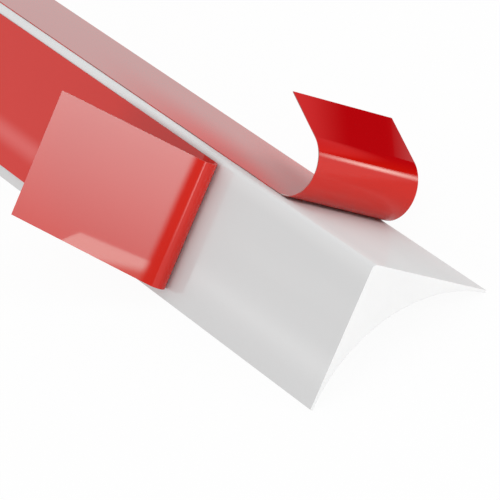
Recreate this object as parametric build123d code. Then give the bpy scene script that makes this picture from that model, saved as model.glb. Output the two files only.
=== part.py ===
"""Self-adhesive flexible cove trim: an extruded strip with a release liner on each bonding leg.

The strip lies on its two tip edges with its heel up. Both liners are peeled back at the front
end: the left one is folded back over itself, the right one curls up. Sizes are in millimetres.
X runs along the strip, the front end is at +X, and the floor is Z = 0.
"""

from build123d import *
from build123d.topology import SkipClean

import os
from math import sqrt

# Strip: a right-angled section with a hollow quarter-round face
STRIP_LENGTH = 1000.0
LEG = 25.0
TIP_THICKNESS = 0.5
HEEL_RADIUS = 0.8

# Release liners: films of one width, flush with the rear end. The left one starts by the heel's
# rounding and leaves a bare margin at its tip, the right one reaches its tip.
LINER_THICKNESS = 0.15
LINER_HEEL_SETBACK = 0.1
LINER_TIP_MARGIN = 1.7

# Left liner, folded back: bare leg ahead of the fold, inside radius, angle left open, flap beyond the fold
LEFT_PEEL = 43.1
LEFT_BEND_RADIUS = 1.9
LEFT_OPEN_ANGLE = 30.0
LEFT_FLAP_LENGTH = 26.7

# Right liner, curled up: bare leg ahead of the curl, inside radius, angle turned, flap beyond the curl
RIGHT_PEEL = 28.9
RIGHT_BEND_RADIUS = 5.7
RIGHT_TURN = 155.0
RIGHT_FLAP_LENGTH = 9.9

# Room between the curl and the stretch of the legs that is clear to bond
BOND_CLEARANCE = 1.0

QUARTER_TURN = 90.0
HALF_TURN = 180.0
COVE_RADIUS = LEG - TIP_THICKNESS
LINER_START = HEEL_RADIUS + LINER_HEEL_SETBACK
LINER_WIDTH = LEG - LINER_START - LINER_TIP_MARGIN
HEEL_HEIGHT = (LEG + TIP_THICKNESS) / sqrt(2)
BOND_LENGTH = min(
    LEFT_PEEL - LEFT_BEND_RADIUS - LINER_THICKNESS,
    RIGHT_PEEL - RIGHT_BEND_RADIUS - LINER_THICKNESS,
) - BOND_CLEARANCE

FORWARD = Vector(1, 0, 0)
RIGHT_LEG = Vector(0, 1, -1).normalized()
LEFT_LEG = Vector(0, -1, -1).normalized()
FRONT_HEEL = Vector(STRIP_LENGTH / 2, 0, HEEL_HEIGHT)


def strip_section():
    """The strip's section: x along the right leg and y along the left one, from the heel."""
    with BuildSketch() as section:
        with BuildLine():
            right_leg = Line((0, 0), (LEG, 0))
            left_leg = Line((0, 0), (0, LEG))
            cove = CenterArc((LEG, LEG), COVE_RADIUS, HALF_TURN, QUARTER_TURN)
            Line(left_leg @ 1, cove @ 0)
            Line(right_leg @ 1, cove @ 1)
        make_face()
        heel = section.vertices().sort_by_distance((0, 0))[0]
        fillet(heel, HEEL_RADIUS)
    return section.sketch


def make_strip():
    """The extruded strip, with its faces parted where the stretch that is clear to bond ends."""
    front = Plane(origin=FRONT_HEEL, x_dir=RIGHT_LEG, z_dir=-FORWARD)
    section = strip_section()
    clear_stretch = extrude(front * section, BOND_LENGTH)
    covered_stretch = extrude(front.offset(BOND_LENGTH) * section, STRIP_LENGTH - BOND_LENGTH)
    with SkipClean():
        return clear_stretch + covered_stretch


def peeled_film(covered_length, bend_radius, turn, flap_length):
    """A liner's side view: flat on its leg up to the origin, then bent up and away from it."""
    with BuildSketch() as film:
        with BuildLine():
            under = Line((-covered_length, 0), (0, 0))
            under_bend = JernArc(under @ 1, under % 1, bend_radius + LINER_THICKNESS, turn)
            under_flap = Line(under_bend @ 1, under_bend @ 1 + (under_bend % 1) * flap_length)
            top = Line((-covered_length, LINER_THICKNESS), (0, LINER_THICKNESS))
            top_bend = JernArc(top @ 1, top % 1, bend_radius, turn)
            top_flap = Line(top_bend @ 1, top_bend @ 1 + (top_bend % 1) * flap_length)
            Line(under @ 0, top @ 0)
            Line(under_flap @ 1, top_flap @ 1)
        make_face()
    return film.sketch


def make_left_liner():
    film = peeled_film(
        STRIP_LENGTH - LEFT_PEEL, LEFT_BEND_RADIUS, HALF_TURN - LEFT_OPEN_ANGLE, LEFT_FLAP_LENGTH
    )
    heel_edge = FRONT_HEEL - FORWARD * LEFT_PEEL + LEFT_LEG * LINER_START
    return extrude(Plane(origin=heel_edge, x_dir=FORWARD, z_dir=LEFT_LEG) * film, LINER_WIDTH)


def make_right_liner():
    film = peeled_film(STRIP_LENGTH - RIGHT_PEEL, RIGHT_BEND_RADIUS, RIGHT_TURN, RIGHT_FLAP_LENGTH)
    tip_edge = FRONT_HEEL - FORWARD * RIGHT_PEEL + RIGHT_LEG * LEG
    return extrude(Plane(origin=tip_edge, x_dir=FORWARD, z_dir=-RIGHT_LEG) * film, LINER_WIDTH)


os.makedirs("parts", exist_ok=True)
for name, make in {
    "trim_strip": make_strip,
    "left_liner": make_left_liner,
    "right_liner": make_right_liner,
}.items():
    export_step(make(), f"parts/{name}.step")
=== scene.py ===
# Flexible cove trim strip with peeled release liners: its finishes, a plain studio and the camera.
# Everything is in metres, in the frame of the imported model.
from math import cos, pi, radians, sqrt

import bmesh
import bpy
from mathutils import Euler, Matrix, Vector


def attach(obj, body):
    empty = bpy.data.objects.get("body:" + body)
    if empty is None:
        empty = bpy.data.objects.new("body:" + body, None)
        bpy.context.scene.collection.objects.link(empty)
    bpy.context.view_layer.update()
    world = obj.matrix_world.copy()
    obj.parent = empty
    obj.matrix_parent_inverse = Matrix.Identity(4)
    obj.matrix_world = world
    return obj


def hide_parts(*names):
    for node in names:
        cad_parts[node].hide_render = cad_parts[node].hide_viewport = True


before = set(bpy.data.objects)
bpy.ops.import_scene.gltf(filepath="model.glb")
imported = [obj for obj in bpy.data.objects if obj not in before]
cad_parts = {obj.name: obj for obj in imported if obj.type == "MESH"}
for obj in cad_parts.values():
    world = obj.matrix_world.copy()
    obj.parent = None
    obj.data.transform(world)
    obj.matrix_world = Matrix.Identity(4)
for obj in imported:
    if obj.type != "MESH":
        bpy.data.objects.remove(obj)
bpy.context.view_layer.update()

# Trim strip: one length of soft white silicone, extruded with a right-angled back and a hollow
# quarter-round face, and cut square with a knife. Both legs of the back carry a clear tacky coat,
# which stops short of the heel and is duller on the right leg. Up at the heel the tone is lighter:
# the coat ends there, and the lighter tone is also a painted highlight along the heel's rounding.
strip_length = 1.0
leg = 0.025
tip_thickness = 0.0005
heel_radius = 0.0008
heel_steps = 12
cove_steps = 96
cut_edge_rounding = 0.00008
cut_edge_steps = 2
back_faces_rise = 0.5
end_faces_lean = 0.1
sharp_from_degrees = 35
noise_low = 0.3
noise_high = 0.7

# Grains and changes of tone are counted in a metre, along the strip and both ways across it.
silicone_white = (0.91, 0.91, 0.907, 1)
silicone_shade = (0.885, 0.885, 0.885, 1)
silicone_drift = (8, 90, 90)
silicone_streaks = (15, 900, 900)
silicone_dullness = (0.38, 0.5)
silicone_seep = 0.1
silicone_seep_tint = (1.0, 0.95, 0.9)
silicone_seep_depth = 0.001
die_line_grain = (4, 2200, 2200)
die_line_depth = 0.000004
skin_grain = (4000, 4000, 4000)
skin_depth = 0.000003
# Lighter tone towards the top of the heel, where the coat ends: partly a painted highlight.
bare_heel_highlight = (0.73, 0.73, 0.732, 1)
heel_highlight_start = 0.0155
heel_highlight_end = 0.0177
coat_drift = (12, 120, 120)
coat_patches = (40, 150, 150)
coat_dullness = (0.46, 0.54)
coat_ripple = (400, 400, 400)
coat_ripple_depth = 0.000002
clear_coat_roughness = 0.085
clear_coat_ior = 2.4

forward = Vector((1, 0, 0))
right_leg = Vector((0, 1, -1)).normalized()
left_leg = Vector((0, -1, -1)).normalized()
rear_heel = Vector((-strip_length / 2, 0, (leg + tip_thickness) / sqrt(2)))


def new_finish(name):
    """A new material and its surface shader."""
    finish = bpy.data.materials.new(name)
    finish.use_nodes = True
    return finish, finish.node_tree.nodes["Principled BSDF"]


def own_place(finish):
    """The piece's own coordinates, in metres."""
    return finish.node_tree.nodes.new("ShaderNodeTexCoord").outputs["Object"]


def grain(finish, per_metre, detail=2.0):
    """Noise with so many grains in a metre along each axis."""
    spread = finish.node_tree.nodes.new("ShaderNodeMapping")
    spread.inputs["Scale"].default_value = per_metre
    finish.node_tree.links.new(own_place(finish), spread.inputs["Vector"])
    noise = finish.node_tree.nodes.new("ShaderNodeTexNoise")
    noise.inputs["Scale"].default_value = 1.0
    noise.inputs["Detail"].default_value = detail
    finish.node_tree.links.new(spread.outputs["Vector"], noise.inputs["Vector"])
    return noise.outputs["Fac"]


def between(finish, noise, low_and_high):
    """Spreads the middle of a noise over the values from low to high."""
    spread = finish.node_tree.nodes.new("ShaderNodeMapRange")
    spread.inputs["From Min"].default_value = noise_low
    spread.inputs["From Max"].default_value = noise_high
    spread.inputs["To Min"].default_value, spread.inputs["To Max"].default_value = low_and_high
    finish.node_tree.links.new(noise, spread.inputs["Value"])
    return spread.outputs["Result"]


def ramp(finish, value, start, end):
    """Rises smoothly from 0 to 1 while a value goes from start to end."""
    rise = finish.node_tree.nodes.new("ShaderNodeMapRange")
    rise.interpolation_type = "SMOOTHSTEP"
    rise.inputs["From Min"].default_value = start
    rise.inputs["From Max"].default_value = end
    finish.node_tree.links.new(value, rise.inputs["Value"])
    return rise.outputs["Result"]


def two_tone(finish, share, first, second):
    """A colour that goes from the first to the second with a share from 0 to 1."""
    blend = finish.node_tree.nodes.new("ShaderNodeMix")
    blend.data_type = "RGBA"
    finish.node_tree.links.new(share, blend.inputs["Factor"])
    for socket in blend.inputs:
        tone = first if socket.name == "A" else second
        if socket.type == "RGBA" and isinstance(tone, tuple):
            socket.default_value = tone
        elif socket.type == "RGBA":
            finish.node_tree.links.new(tone, socket)
    return next(socket for socket in blend.outputs if socket.type == "RGBA")


def drift(finish, per_metre, first, second):
    """A colour that drifts between two tones, with so many changes in a metre along each axis."""
    share = ramp(finish, grain(finish, per_metre), noise_low, noise_high)
    return two_tone(finish, share, first, second)


def relief(finish, height, depth, under=None):
    """Bump of that depth in metres, on top of another bump where one is given."""
    bump = finish.node_tree.nodes.new("ShaderNodeBump")
    bump.inputs["Distance"].default_value = depth
    finish.node_tree.links.new(height, bump.inputs["Height"])
    if under is not None:
        finish.node_tree.links.new(under, bump.inputs["Normal"])
    return bump.outputs["Normal"]


def feed(finish, surface, tone=None, dullness=None, skin=None):
    """Gives the surface its colour, its roughness and its bump, where they aren't plain."""
    for part, socket in (tone, "Base Color"), (dullness, "Roughness"), (skin, "Normal"):
        if part is not None:
            finish.node_tree.links.new(part, surface.inputs[socket])


silicone, surface = new_finish("silicone")
die_lines = relief(silicone, grain(silicone, die_line_grain, detail=1.0), die_line_depth)
feed(silicone, surface,
     tone=drift(silicone, silicone_drift, silicone_white, silicone_shade),
     dullness=between(silicone, grain(silicone, silicone_streaks), silicone_dullness),
     skin=relief(silicone, grain(silicone, skin_grain), skin_depth, under=die_lines))
surface.inputs["Subsurface Weight"].default_value = silicone_seep
surface.inputs["Subsurface Radius"].default_value = silicone_seep_tint
surface.inputs["Subsurface Scale"].default_value = silicone_seep_depth


def tacky_coat(name, white, shade, shine, clear_coat):
    """Tacky coat over white silicone, which fades towards the heel into a lighter tone, partly a painted
    highlight.
    """
    finish, surface = new_finish(name)
    split = finish.node_tree.nodes.new("ShaderNodeSeparateXYZ")
    finish.node_tree.links.new(own_place(finish), split.inputs["Vector"])
    coated = drift(finish, coat_drift, white, shade)
    # Lighter with height near the heel: the bare heel, with a painted highlight on its rounding.
    bare_and_highlit = ramp(finish, split.outputs["Z"], heel_highlight_start, heel_highlight_end)
    feed(finish, surface,
         tone=two_tone(finish, bare_and_highlit, coated, bare_heel_highlight),
         dullness=between(finish, grain(finish, coat_patches), coat_dullness),
         skin=relief(finish, grain(finish, coat_ripple), coat_ripple_depth))
    surface.inputs["Specular IOR Level"].default_value = shine
    surface.inputs["Coat Weight"].default_value = clear_coat
    surface.inputs["Coat Roughness"].default_value = clear_coat_roughness
    surface.inputs["Coat IOR"].default_value = clear_coat_ior
    return finish


left_coat = tacky_coat("left_tacky_coat", white=(0.675, 0.675, 0.675, 1), shade=(0.655, 0.655, 0.657, 1),
                       shine=0.15, clear_coat=0.3)
# Right coat painted a lighter white: painted light for its weaker gloss and the shade by the curl.
right_coat = tacky_coat("right_tacky_coat", white=(0.71, 0.706, 0.706, 1), shade=(0.69, 0.687, 0.688, 1),
                        shine=0.04, clear_coat=0.1)


def only_verts(parts):
    """The vertices among the parts that an operator gives back."""
    return [part for part in parts if isinstance(part, bmesh.types.BMVert)]


def as_piece(name, mesh, finishes):
    """The finished mesh as an object at the origin, smooth up to its sharp edges."""
    data = bpy.data.meshes.new(name)
    mesh.to_mesh(data)
    mesh.free()
    data.shade_smooth()
    data.set_sharp_from_angle(angle=radians(sharp_from_degrees))
    for finish in finishes:
        data.materials.append(finish)
    piece = bpy.data.objects.new(name, data)
    bpy.context.collection.objects.link(piece)
    shading = piece.modifiers.new("flat_faces_stay_flat", "WEIGHTED_NORMAL")
    shading.keep_sharp = True
    return piece


strip_mesh = bmesh.new()
heel = strip_mesh.verts.new(rear_heel)
right_tip = strip_mesh.verts.new(rear_heel + right_leg * leg)
left_tip = strip_mesh.verts.new(rear_heel + left_leg * leg)
cove_start = strip_mesh.verts.new(right_tip.co + left_leg * tip_thickness)
cove = bmesh.ops.spin(strip_mesh, geom=[cove_start], cent=rear_heel + (right_leg + left_leg) * leg,
                      axis=forward, angle=radians(90), steps=cove_steps)
cove_end = only_verts(cove["geom_last"])[0]
for ends in (cove_end, left_tip), (left_tip, heel), (heel, right_tip), (right_tip, cove_start):
    strip_mesh.edges.new(ends)
bmesh.ops.edgeloop_fill(strip_mesh, edges=strip_mesh.edges)
bmesh.ops.bevel(strip_mesh, geom=[heel], offset=heel_radius, offset_type="OFFSET", segments=heel_steps,
                profile=0.5, affect="VERTICES", material=-1)
drawn = bmesh.ops.extrude_face_region(strip_mesh, geom=strip_mesh.faces[:], use_keep_orig=True)
bmesh.ops.translate(strip_mesh, verts=only_verts(drawn["geom"]), vec=forward * strip_length)
bmesh.ops.recalc_face_normals(strip_mesh, faces=strip_mesh.faces)
end_edges = [edge for edge in strip_mesh.edges if abs(edge.verts[0].co.x - edge.verts[1].co.x) < leg]
bmesh.ops.bevel(strip_mesh, geom=end_edges, offset=cut_edge_rounding, offset_type="OFFSET",
                segments=cut_edge_steps, profile=0.5, affect="EDGES", material=-1)

strip_finishes = [silicone, left_coat, right_coat]
for face in strip_mesh.faces:
    on_the_back = face.normal.z > back_faces_rise and abs(face.normal.x) < end_faces_lean
    face_coat = left_coat if face.normal.y < 0 else right_coat
    face.material_index = strip_finishes.index(face_coat if on_the_back else silicone)

strip = as_piece("silicone_strip", strip_mesh, strip_finishes)
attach(strip, "root")
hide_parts("trim_strip")

# Left release liner: a thin glossy red film on the left leg, die-cut in one width with the right
# one. It is peeled off the front of the leg and folded back over itself, and stands a little open.
film_thickness = 0.00015
film_heel_setback = 0.0001
film_tip_margin = 0.0017
left_peel = 0.0431
left_bend_radius = 0.0019
left_turn = 150
left_flap = 0.0267
bend_steps = 48

film_red = (0.66, 0.012, 0.003, 1)
film_deep_red = (0.63, 0.01, 0.002, 1)
film_drift = (30, 30, 30)
film_smears = (250, 250, 250)
film_dullness = (0.012, 0.018)
film_waves = (60, 60, 60)
film_wave_depth = 0.0000025
film_ior = 1.5
cut_edge_tone = (0.24, 0.13, 0.12, 1)
cut_edge_drift = (300, 300, 300)
cut_edge_roughness = 0.5

film_start = heel_radius + film_heel_setback
film_width = leg - film_start - film_tip_margin
front_heel = rear_heel + forward * strip_length


def film_finish(name):
    """Smooth glossy film with a faint waviness. It still needs its colour."""
    finish, surface = new_finish(name)
    feed(finish, surface,
         dullness=between(finish, grain(finish, film_smears), film_dullness),
         skin=relief(finish, grain(finish, film_waves, detail=1.0), film_wave_depth))
    surface.inputs["IOR"].default_value = film_ior
    return finish, surface


film, surface = film_finish("release_film")
feed(film, surface, tone=drift(film, film_drift, film_red, film_deep_red))

# The cut edges are dark grey-brown drifting into deep red, and draw a thin dark line along each liner.
film_edge, surface = new_finish("film_cut_edge")
feed(film_edge, surface, tone=drift(film_edge, cut_edge_drift, cut_edge_tone, film_deep_red))
surface.inputs["Roughness"].default_value = cut_edge_roughness


def peeled_film(name, across, outward, start, peel, bend_radius, turn, flap_length, leg_side_finish):
    """A film that lies on its leg up to the peel, turns up and away from it and ends in a flap."""
    covered = strip_length - peel
    bend_start = front_heel - forward * peel + across * start
    bend_middle = bend_start + outward * (bend_radius + film_thickness)
    hinge = outward.cross(forward)
    sheet = bmesh.new()
    past_bend = sheet.verts.layers.float.new("past_bend")
    rear = sheet.verts.new(bend_start - forward * covered)
    flat = bmesh.ops.extrude_vert_indiv(sheet, verts=[rear])
    bmesh.ops.translate(sheet, verts=flat["verts"], vec=forward * covered)
    bend = bmesh.ops.spin(sheet, geom=flat["verts"], cent=bend_middle, axis=hinge, angle=radians(-turn),
                          steps=bend_steps)
    bend_end = only_verts(bend["geom_last"])
    tail = bmesh.ops.extrude_vert_indiv(sheet, verts=bend_end)
    along_flap = forward.copy()
    along_flap.rotate(Matrix.Rotation(radians(-turn), 3, hinge))
    bmesh.ops.translate(sheet, verts=tail["verts"], vec=along_flap * flap_length)
    for vert in sheet.verts:
        before_flap = (vert.co - bend_end[0].co).length
        vert[past_bend] = flap_length if vert in tail["verts"] else -before_flap
    wide = bmesh.ops.extrude_edge_only(sheet, edges=sheet.edges[:])
    bmesh.ops.translate(sheet, verts=only_verts(wide["geom"]), vec=across * film_width)
    bmesh.ops.recalc_face_normals(sheet, faces=sheet.faces)
    lying = max(sheet.faces, key=lambda face: face.calc_area())
    if lying.normal.dot(outward) > 0:
        bmesh.ops.reverse_faces(sheet, faces=sheet.faces)
    leg_side_verts = set(sheet.verts)
    bmesh.ops.solidify(sheet, geom=sheet.faces[:], thickness=film_thickness)
    outer_side, leg_side, cut_edge = range(3)
    for face in sheet.faces:
        shared = len(leg_side_verts.intersection(face.verts))
        face.material_index = cut_edge
        if shared == 0:
            face.material_index = outer_side
        elif shared == len(face.verts):
            face.material_index = leg_side
    return as_piece(name, sheet, [film, leg_side_finish, film_edge])


left_liner = peeled_film("left_liner_film", across=left_leg, outward=-right_leg, start=film_start,
                         peel=left_peel, bend_radius=left_bend_radius, turn=left_turn,
                         flap_length=left_flap, leg_side_finish=film)
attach(left_liner, "root")
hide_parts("left_liner")

# Right release liner: the same film on the right leg, flush with the tip. Its peeled front end
# springs up in a curl and shows the side that lay on the tacky coat.
right_peel = 0.0289
right_bend_radius = 0.0057
right_turn = 155
right_flap = 0.0099
flap_red = (0.47, 0.002, 0.004, 1)
flap_red_from = -0.005
flap_red_to = 0.0

release_side, surface = film_finish("release_side")
past_bend = release_side.node_tree.nodes.new("ShaderNodeAttribute")
past_bend.attribute_name = "past_bend"
on_flap = ramp(release_side, past_bend.outputs["Fac"], flap_red_from, flap_red_to)
feed(release_side, surface, tone=two_tone(release_side, on_flap, film_deep_red, flap_red))

right_liner = peeled_film("right_liner_film", across=right_leg, outward=-left_leg, start=leg - film_width,
                          peel=right_peel, bend_radius=right_bend_radius, turn=right_turn,
                          flap_length=right_flap, leg_side_finish=release_side)
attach(right_liner, "root")
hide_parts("right_liner")

# Floor and surround: a pale painted floor that runs out of sight, under an even white sky. Both look
# plain white to the eye, the sky in the film's gloss too, and the floor keeps the strip's shadow.
floor_size = 60.0
floor_white = (0.9, 0.9, 0.9, 1)
floor_glow_to_eye = 0.94
floor_glow_in_gloss = 0.5
surround_white = (1, 1, 1, 1)
surround_light = 0.86
surround_glow_to_eye = 1.0


def bare_paint(name):
    """A new material with no shader yet."""
    paint = bpy.data.materials.new(name)
    paint.use_nodes = True
    paint.node_tree.nodes.clear()
    return paint


def worked_out(tree, operation, *values):
    """What one operation makes of values that are numbers or come from other nodes."""
    step = tree.nodes.new("ShaderNodeMath")
    step.operation = operation
    for socket, value in zip(step.inputs, values):
        if isinstance(value, float):
            socket.default_value = value
        else:
            tree.links.new(value, socket)
    return step.outputs["Value"]


def seen_directly(tree, to_eye=1.0, in_gloss=1.0):
    """The given levels for rays from the eye or a clear body and in reflections, and 0 for soft light."""
    path = tree.nodes.new("ShaderNodeLightPath")
    from_eye = worked_out(tree, "MULTIPLY", path.outputs["Is Camera Ray"], to_eye)
    through_clear = worked_out(tree, "MULTIPLY", path.outputs["Is Transmission Ray"], to_eye)
    reflected = worked_out(tree, "MULTIPLY", path.outputs["Is Glossy Ray"], in_gloss)
    in_sight = worked_out(tree, "MAXIMUM", from_eye, through_clear)
    return worked_out(tree, "MAXIMUM", in_sight, reflected)


def show_mixed(tree, share, first, second):
    """Shows the first shader where the share is 0 and the second where it is 1."""
    mixed = tree.nodes.new("ShaderNodeMixShader")
    for part, socket in zip((share, first, second), mixed.inputs):
        tree.links.new(part, socket)
    tree.links.new(mixed.outputs["Shader"], tree.nodes.new("ShaderNodeOutputMaterial").inputs["Surface"])


floor_mesh = bmesh.new()
bmesh.ops.create_grid(floor_mesh, x_segments=1, y_segments=1, size=floor_size / 2)
floor_paint = bare_paint("floor_paint")
tree = floor_paint.node_tree
chalk = tree.nodes.new("ShaderNodeBsdfDiffuse")
chalk.inputs["Color"].default_value = floor_white
plain_glow = tree.nodes.new("ShaderNodeEmission")
show_mixed(tree, seen_directly(tree, floor_glow_to_eye, floor_glow_in_gloss), chalk.outputs["BSDF"],
           plain_glow.outputs["Emission"])
floor = as_piece("floor", floor_mesh, [floor_paint])

world = bpy.data.worlds.new("surround")
bpy.context.scene.world = world
world.use_nodes = True
tree = world.node_tree
brightness = tree.nodes.new("ShaderNodeMapRange")
brightness.inputs["To Min"].default_value = surround_light
brightness.inputs["To Max"].default_value = surround_glow_to_eye
tree.links.new(seen_directly(tree), brightness.inputs["Value"])
tree.nodes["Background"].inputs["Color"].default_value = surround_white
tree.links.new(brightness.outputs["Result"], tree.nodes["Background"].inputs["Strength"])

# Gloss cards: glowing or black sheets round the strip that light nothing and show only in reflections,
# as painted reflections. They give the glossy film its pale veil, its lines of light and its deep reds,
# and the tacky coat its soft sheen.
flap_middle = Vector((0.4467, -0.0158, 0.0169))
fold_middle = Vector((0.457, -0.009, 0.013))
curl_middle = Vector((0.469, 0.0191, 0.0177))
fold_line_shift = 0.009
curl_streak_shift = 0.001
face_up = Vector((0, 0.001, 1))
face_left_leg = Vector((0, 0.1863, -0.095))


def away_from(target, azimuth, elevation, distance):
    """The place that far from a target. The azimuth is 0 at -Y and 90 at +X."""
    turned = Euler((radians(-elevation), 0, radians(azimuth))).to_matrix()
    return target + turned @ Vector((0, -1, 0)) * distance


def facing(thing, place, target):
    """Puts a lamp or card at a place, turned towards a target."""
    thing.location = place
    thing.rotation_euler = (target - place).to_track_quat("-Z", "Y").to_euler()


def gloss_card(name, place, target, size, glow, fade, low_glow=None, tint=(1, 1, 1, 1), roll=0, corners=4):
    """A card that shows only in reflections, fades out at its edges and may glow less at its lower edge."""
    mesh = bmesh.new()
    bmesh.ops.create_circle(mesh, cap_ends=True, segments=corners, radius=0.5 / cos(pi / corners))
    bmesh.ops.rotate(mesh, verts=mesh.verts, cent=(0, 0, 0), matrix=Matrix.Rotation(pi / corners, 3, "Z"))
    bmesh.ops.scale(mesh, verts=mesh.verts, vec=(*size, 1))
    data = bpy.data.meshes.new(name)
    mesh.to_mesh(data)
    mesh.free()
    paper = bare_paint(name)
    tree = paper.node_tree
    split = tree.nodes.new("ShaderNodeSeparateXYZ")
    tree.links.new(own_place(paper), split.inputs["Vector"])
    inside = []
    for axis, side, width in zip("XY", size, fade):
        from_middle = worked_out(tree, "ABSOLUTE", split.outputs[axis])
        inside.append(ramp(paper, from_middle, side / 2, side / 2 - width))
    slope = tree.nodes.new("ShaderNodeMapRange")
    slope.inputs["From Min"].default_value = -size[1] / 2
    slope.inputs["From Max"].default_value = size[1] / 2
    slope.inputs["To Min"].default_value = glow if low_glow is None else low_glow
    slope.inputs["To Max"].default_value = glow
    tree.links.new(split.outputs["Y"], slope.inputs["Value"])
    glowing_paper = tree.nodes.new("ShaderNodeEmission")
    glowing_paper.inputs["Color"].default_value = tint
    tree.links.new(slope.outputs["Result"], glowing_paper.inputs["Strength"])
    clear = tree.nodes.new("ShaderNodeBsdfTransparent")
    show_mixed(tree, worked_out(tree, "MULTIPLY", *inside), clear.outputs["BSDF"],
               glowing_paper.outputs["Emission"])
    data.materials.append(paper)
    card = bpy.data.objects.new(name, data)
    bpy.context.collection.objects.link(card)
    facing(card, place, target)
    card.rotation_euler.rotate_axis("Z", radians(-roll))
    for kind in ("camera", "diffuse", "transmission", "volume_scatter", "shadow"):
        setattr(card, "visible_" + kind, False)


def turned_card(name, place, direction, **look):
    """A gloss card that faces in a direction."""
    gloss_card(name, place, place + direction, **look)


# The pale veil on the folded flap, its lighter patch, the deep red by the fold and the fold's light line
gloss_card("flap_card", away_from(flap_middle, azimuth=10.2, elevation=32.9, distance=0.6), flap_middle,
           size=(0.1, 0.1), glow=9.2, low_glow=0.4, fade=(0.0035, 0.005), tint=(0.45, 1, 0.99, 1), roll=9)
gloss_card("flap_octagon", away_from(flap_middle, azimuth=12.51, elevation=26.4, distance=0.57), flap_middle,
           size=(0.092, 0.092), glow=7.3, fade=(0.001, 0.001), tint=(0.6, 1, 0.95, 1), roll=9, corners=8)
gloss_card("flap_shade", away_from(flap_middle, azimuth=13.51, elevation=29.19, distance=0.53), flap_middle,
           size=(0.06, 0.0255), glow=2.1, fade=(0.012, 0.0035), tint=(0.6, 1, 0.9, 1), roll=-1.4)
gloss_card("fold_flag", away_from(flap_middle, azimuth=30.41, elevation=25, distance=0.5), flap_middle,
           size=(0.28, 0.3), glow=0.35, fade=(0.003, 0.02), roll=18.1)
fold_line_place = away_from(fold_middle, azimuth=58, elevation=14, distance=0.15)
gloss_card("fold_line", fold_line_place - left_leg * fold_line_shift, fold_middle,
           size=(0.034, 0.044), glow=4.6, fade=(0.01, 0.022), roll=37)

# The red glow on the curl, the dark band across it and its streak of light
gloss_card("curl_wall", away_from(curl_middle, azimuth=188, elevation=4, distance=0.4), curl_middle,
           size=(0.5, 0.2), glow=1.5, fade=(0.05, 0.03), tint=(1, 0.16, 0.15, 1))
gloss_card("curl_flag", away_from(curl_middle, azimuth=183, elevation=-2.1, distance=0.15), curl_middle,
           size=(0.16, 0.0285), glow=0.0, fade=(0.01, 0.011))
curl_streak_place = away_from(curl_middle, azimuth=147.7, elevation=-6.9, distance=0.06)
gloss_card("curl_streak", curl_streak_place + right_leg * curl_streak_shift, curl_middle,
           size=(0.017, 0.031), glow=9.0, fade=(0.0085, 0.0155), tint=(0.8, 1, 0.9, 1), roll=-26)

# Painted reflections of the floor's shade and of its pink bounce light from the liner:
# The greys and pinks on the right liner, from glowing patches that lie on the floor beside it
turned_card("far_patch", Vector((0.265, 0.045, 0.0004)), face_up,
            size=(0.43, 0.09), glow=1.0, fade=(0.06, 0.02), tint=(0.52, 0.88, 0.88, 1))
turned_card("liner_patch", Vector((0.445, 0.040, 0.0005)), face_up,
            size=(0.14, 0.039), glow=1.0, fade=(0.05, 0.0095), tint=(0.75, 0.42, 0.42, 1))
turned_card("curl_patch", Vector((0.47, 0.040, 0.001)), face_up,
            size=(0.08, 0.048), glow=0.6, fade=(0.018, 0.006), tint=(0.75, 1, 1, 1))

# The light bands along the left leg and the flat part of its liner
turned_card("leg_band", Vector((0.27, -0.199, 0.1)), face_left_leg,
            size=(0.14, 0.006), glow=3.3, fade=(0.02, 0.003))
turned_card("liner_band", Vector((0.12, -0.199, 0.1007)), face_left_leg,
            size=(0.16, 0.008), glow=2.2, fade=(0.02, 0.004))

# Soft boxes: two area lamps behind diffusers, one for each leg of the strip. They draw the soft
# shadows of the peeled films on the legs, and leave no streak in the film's gloss.
box_distance = 1.2
left_box_size = (0.4, 0.5)
left_box_watts = 1.3
right_box_size = (0.3, 0.3)
right_box_watts = 3.2


def soft_box(name, place, target, size, watts):
    """A soft area lamp that shows neither to the eye nor in the gloss."""
    lamp = bpy.data.lights.new(name, "AREA")
    lamp.shape = "RECTANGLE"
    lamp.size, lamp.size_y = size
    lamp.energy = watts
    box = bpy.data.objects.new(name, lamp)
    facing(box, place, target)
    box.visible_camera = False
    box.visible_glossy = False
    bpy.context.collection.objects.link(box)


soft_box("left_box", away_from(fold_middle, azimuth=10, elevation=28, distance=box_distance), fold_middle,
         left_box_size, left_box_watts)
soft_box("right_box", away_from(curl_middle, azimuth=130, elevation=25, distance=box_distance), curl_middle,
         right_box_size, right_box_watts)

# Camera: a long lens at the photograph's viewing angle, which was worked out from the strip's cut
# end and its long edges. It is tilted as the photograph is, and all of the strip is in focus.
camera_place = (0.884409, -0.193405, 0.358368)
camera_azimuth = 65.6128
camera_elevation = 37.5337
camera_roll = 17.8655
lens_mm = 257.93
sensor_mm = 36
nearest = 0.01
farthest = 100

lens = bpy.data.cameras.new("camera")
lens.lens = lens_mm
lens.sensor_width = sensor_mm
lens.clip_start = nearest
lens.clip_end = farthest
camera = bpy.data.objects.new("camera", lens)
level_view = Euler((radians(90 - camera_elevation), 0, radians(camera_azimuth))).to_matrix()
camera.rotation_euler = (level_view @ Matrix.Rotation(radians(-camera_roll), 3, "Z")).to_euler()
camera.location = camera_place
bpy.context.collection.objects.link(camera)
bpy.context.scene.camera = camera
bpy.context.scene.view_settings.view_transform = "Standard"
